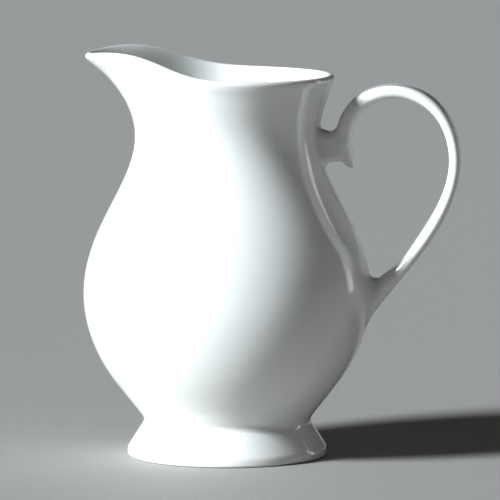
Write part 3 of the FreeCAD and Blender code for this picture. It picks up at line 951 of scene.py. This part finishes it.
def porcelain(name, colour):
    """Clear glaze over white clay, bare on the ring that the jug stands on."""
    shading = Shading(name)
    shader = shading.shader
    shader.inputs["IOR"].default_value = GLAZE_IOR

    # cloudy, barely visible changes of tone where the glaze lies thicker
    cloud = shading.span(shading.noise(*CLOUD_NOISE), CLOUD_LEVELS)
    cooler = tuple(c * tint for c, tint in zip(colour, THICK_GLAZE_TINT))
    tone = shading.blend(cloud, colour, cooler)
    # a few tiny kiln specks
    speck = shading.span(shading.noise(*SPECK_NOISE), SPECK_LEVELS, (0.0, SPECK_STRENGTH))
    tone = shading.blend(speck, tone, SPECK_COLOUR)
    # bare clay on the ring the jug stands on
    split = shading.nodes.new("ShaderNodeSeparateXYZ")
    shading.link(shading.place, split.inputs[0])
    bare = shading.span(split.outputs["Z"], BARE_CLAY_HEIGHTS, (1.0, 0.0))
    grain = shading.span(shading.noise(*GRAIN_NOISE), GRAIN_LEVELS)
    clay = shading.blend(grain, *CLAY_COLOURS)
    shading.link(shading.blend(bare, tone, clay), shader.inputs["Base Color"])

    gloss = shading.span(shading.noise(*GLOSS_NOISE), GLOSS_LEVELS, GLAZE_ROUGHNESS)
    rough = shading.nodes.new("ShaderNodeMix")
    shading.link(bare, rough.inputs["Factor"])
    shading.link(gloss, rough.inputs["A"])
    rough.inputs["B"].default_value = CLAY_ROUGHNESS
    shading.link(rough.outputs["Result"], shader.inputs["Roughness"])

    # faint waviness of the melted glaze
    ripple = shading.nodes.new("ShaderNodeBump")
    ripple.inputs["Strength"].default_value = RIPPLE_STRENGTH
    ripple.inputs["Distance"].default_value = RIPPLE_DEPTH
    shading.link(shading.noise(*RIPPLE_NOISE), ripple.inputs["Height"])
    shading.link(ripple.outputs["Normal"], shader.inputs["Normal"])
    return shading.material


glaze = porcelain("porcelain_glaze", GLAZE_COLOUR)
slip = porcelain("slip_glaze", SLIP_COLOUR)
for piece in (body, foot, handle):
    piece.data.materials.append(glaze)
for piece in (foot_slip, upper_slip, lower_slip):
    piece.data.materials.append(slip)


# ---- table -----------------------------------------------------------------
# All in metres.

TABLE_FLAT = 2.0             # radius of the flat part
TABLE_EASED = 8.0            # the slope is reached here
TABLE_EASED_STEPS = 10
TABLE_END = 60.0
TABLE_SLOPE = 0.07
TABLE_AROUND = 96
TABLE_COLOUR = (0.42, 0.404, 0.39, 1.0)
TABLE_ROUGHNESS = 0.7


def table_paint():
    """Even matt paint."""
    material = bpy.data.materials.new("table_paint")
    material.use_nodes = True
    shader = material.node_tree.nodes["Principled BSDF"]
    shader.inputs["Roughness"].default_value = TABLE_ROUGHNESS
    shader.inputs["Base Color"].default_value = TABLE_COLOUR
    return material


def make_table():
    """Flat table top that rises very gently far away, so that no edge is seen."""
    profile = [(TABLE_FLAT, 0.0)]
    for i in range(TABLE_EASED_STEPS):
        share = (i + 1) / TABLE_EASED_STEPS
        run = (TABLE_EASED - TABLE_FLAT) * share
        profile.append((TABLE_FLAT + run, 0.5 * TABLE_SLOPE * run * share))
    profile.append((TABLE_END, profile[-1][1] + TABLE_SLOPE * (TABLE_END - TABLE_EASED)))
    points = turn_profile(np.array(profile), TABLE_AROUND)
    middle = end_caps(len(profile), TABLE_AROUND)[0]
    mesh = bpy.data.meshes.new("table")
    faces = grid_faces(len(profile), TABLE_AROUND) + [middle]
    mesh.from_pydata(points.reshape(-1, 3).tolist(), [], faces)
    mesh.polygons.foreach_set("use_smooth", [True] * len(mesh.polygons))
    mesh.materials.append(table_paint())
    table = bpy.data.objects.new("table", mesh)
    bpy.context.collection.objects.link(table)


make_table()


# ---- light -----------------------------------------------------------------

DAYLIGHT = (0.88, 0.955, 1.0)
JUG_MIDDLE = Vector((0, 0, 0.06))                # metres
KEY_DISTANCE = 2.0                               # metres
ROOM_COLOUR = (0.65, 0.64, 0.63, 1)
ROOM_STRENGTH = 0.12


def heading(azimuth, elevation):
    """Direction away from the jug; azimuth 0 is the side of the camera, 90 the handle side."""
    a, e = math.radians(azimuth), math.radians(elevation)
    return Vector((math.sin(a) * math.cos(e), -math.cos(a) * math.cos(e), math.sin(e)))


def placed_lamp(name, data, away, distance):
    """Lamp at a distance from the middle of the jug, facing it."""
    lamp = bpy.data.objects.new(name, data)
    bpy.context.collection.objects.link(lamp)
    lamp.location = JUG_MIDDLE + away * distance
    lamp.rotation_euler = away.to_track_quat("Z", "Y").to_euler()


def window_light(name, azimuth, elevation, spread, strength):
    """Even soft light from one side, as from a large window far away."""
    data = bpy.data.lights.new(name, "SUN")
    data.angle = math.radians(spread)
    data.energy = strength
    data.color = DAYLIGHT
    placed_lamp(name, data, heading(azimuth, elevation), KEY_DISTANCE)


def soft_box(name, azimuth, elevation, distance, width, height, power):
    """Flat shining panel; distance and sizes in metres."""
    data = bpy.data.lights.new(name, "AREA")
    data.shape = "RECTANGLE"
    data.size = width
    data.size_y = height
    data.energy = power
    placed_lamp(name, data, heading(azimuth, elevation), distance)


window_light("key_light", azimuth=-58, elevation=26, spread=14, strength=4.8)
soft_box("strip_light", azimuth=121, elevation=11, distance=1.5,
         width=0.2, height=0.7, power=0.8)

world = bpy.data.worlds.new("room")
bpy.context.scene.world = world
world.use_nodes = True
world.node_tree.nodes["Background"].inputs["Color"].default_value = ROOM_COLOUR
world.node_tree.nodes["Background"].inputs["Strength"].default_value = ROOM_STRENGTH
bpy.context.scene.view_settings.view_transform = "Standard"
bpy.context.scene.view_settings.look = "High Contrast"
